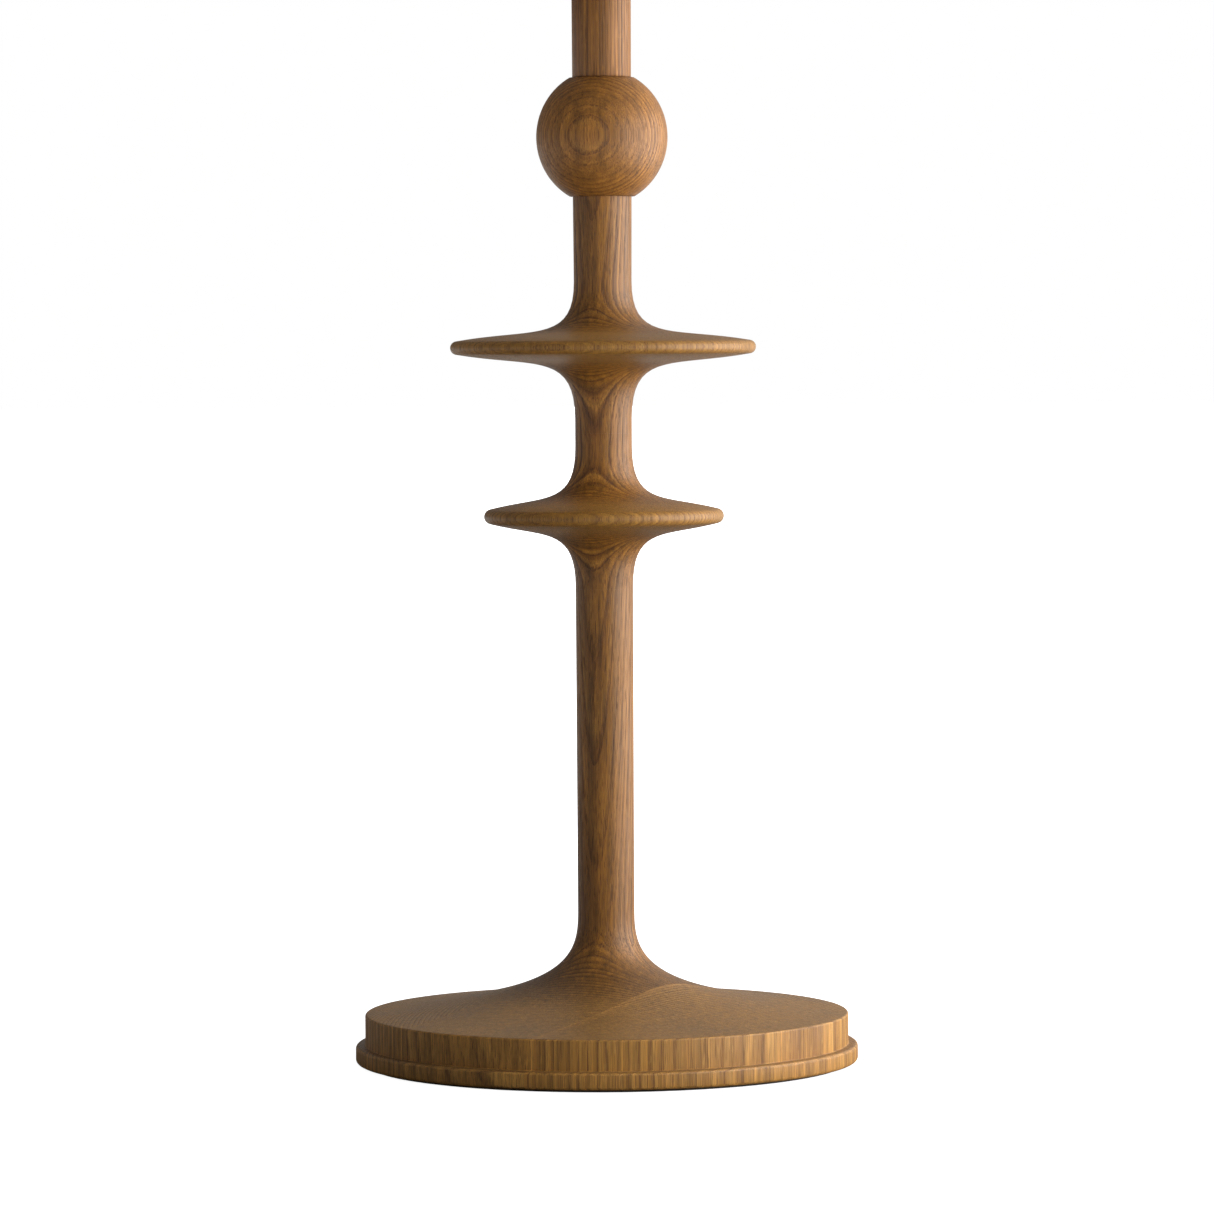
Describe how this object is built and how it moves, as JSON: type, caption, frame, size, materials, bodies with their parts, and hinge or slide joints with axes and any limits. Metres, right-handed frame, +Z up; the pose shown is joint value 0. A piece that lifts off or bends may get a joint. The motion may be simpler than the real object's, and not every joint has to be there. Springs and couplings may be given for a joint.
{
  "type": "candlestick",
  "caption": "Tall turned oak candlestick: broad stepped round base, slim stem with thin discs and a ball, drip pan and a loose brass cup for a taper candle.",
  "frame": {"origin": "centre of the felt pad's underside, on the axis, where the candlestick stands", "axes": "+Z up along the turning axis; -Y towards the viewer, +X to the viewer's right"},
  "size_m": [0.201, 0.201, 0.5081],
  "materials": {
    "oak": "satin oiled, medium brown stain",
    "beech": "bare dowel",
    "brass": "spun, lightly aged",
    "steel": "zinc plated",
    "felt": "pressed felt"
  },
  "bodies": {
    "candlestick": {"felt_pad": "felt", "base_centre_block": "oak", "base_right_block": "oak", "base_left_block": "oak", "base_washer": "steel", "base_screw": "steel", "lower_stem": "oak", "lower_disc": "oak", "upper_disc": "oak", "ball": "oak", "upper_stem": "oak", "drip_pan": "oak", "candle_socket": "oak", "lower_disc_dowel": "beech", "upper_disc_dowel": "beech", "ball_lower_dowel": "beech", "ball_upper_dowel": "beech", "drip_pan_dowel": "beech"},
    "cup": {"candle_cup": "brass"}
  },
  "joints": [
    {"name": "candle_cup_lift", "type": "slide", "parent": "candlestick", "child": "cup", "axis": [0, 0, 1], "range_m": [0, 0.03]}
  ]
}
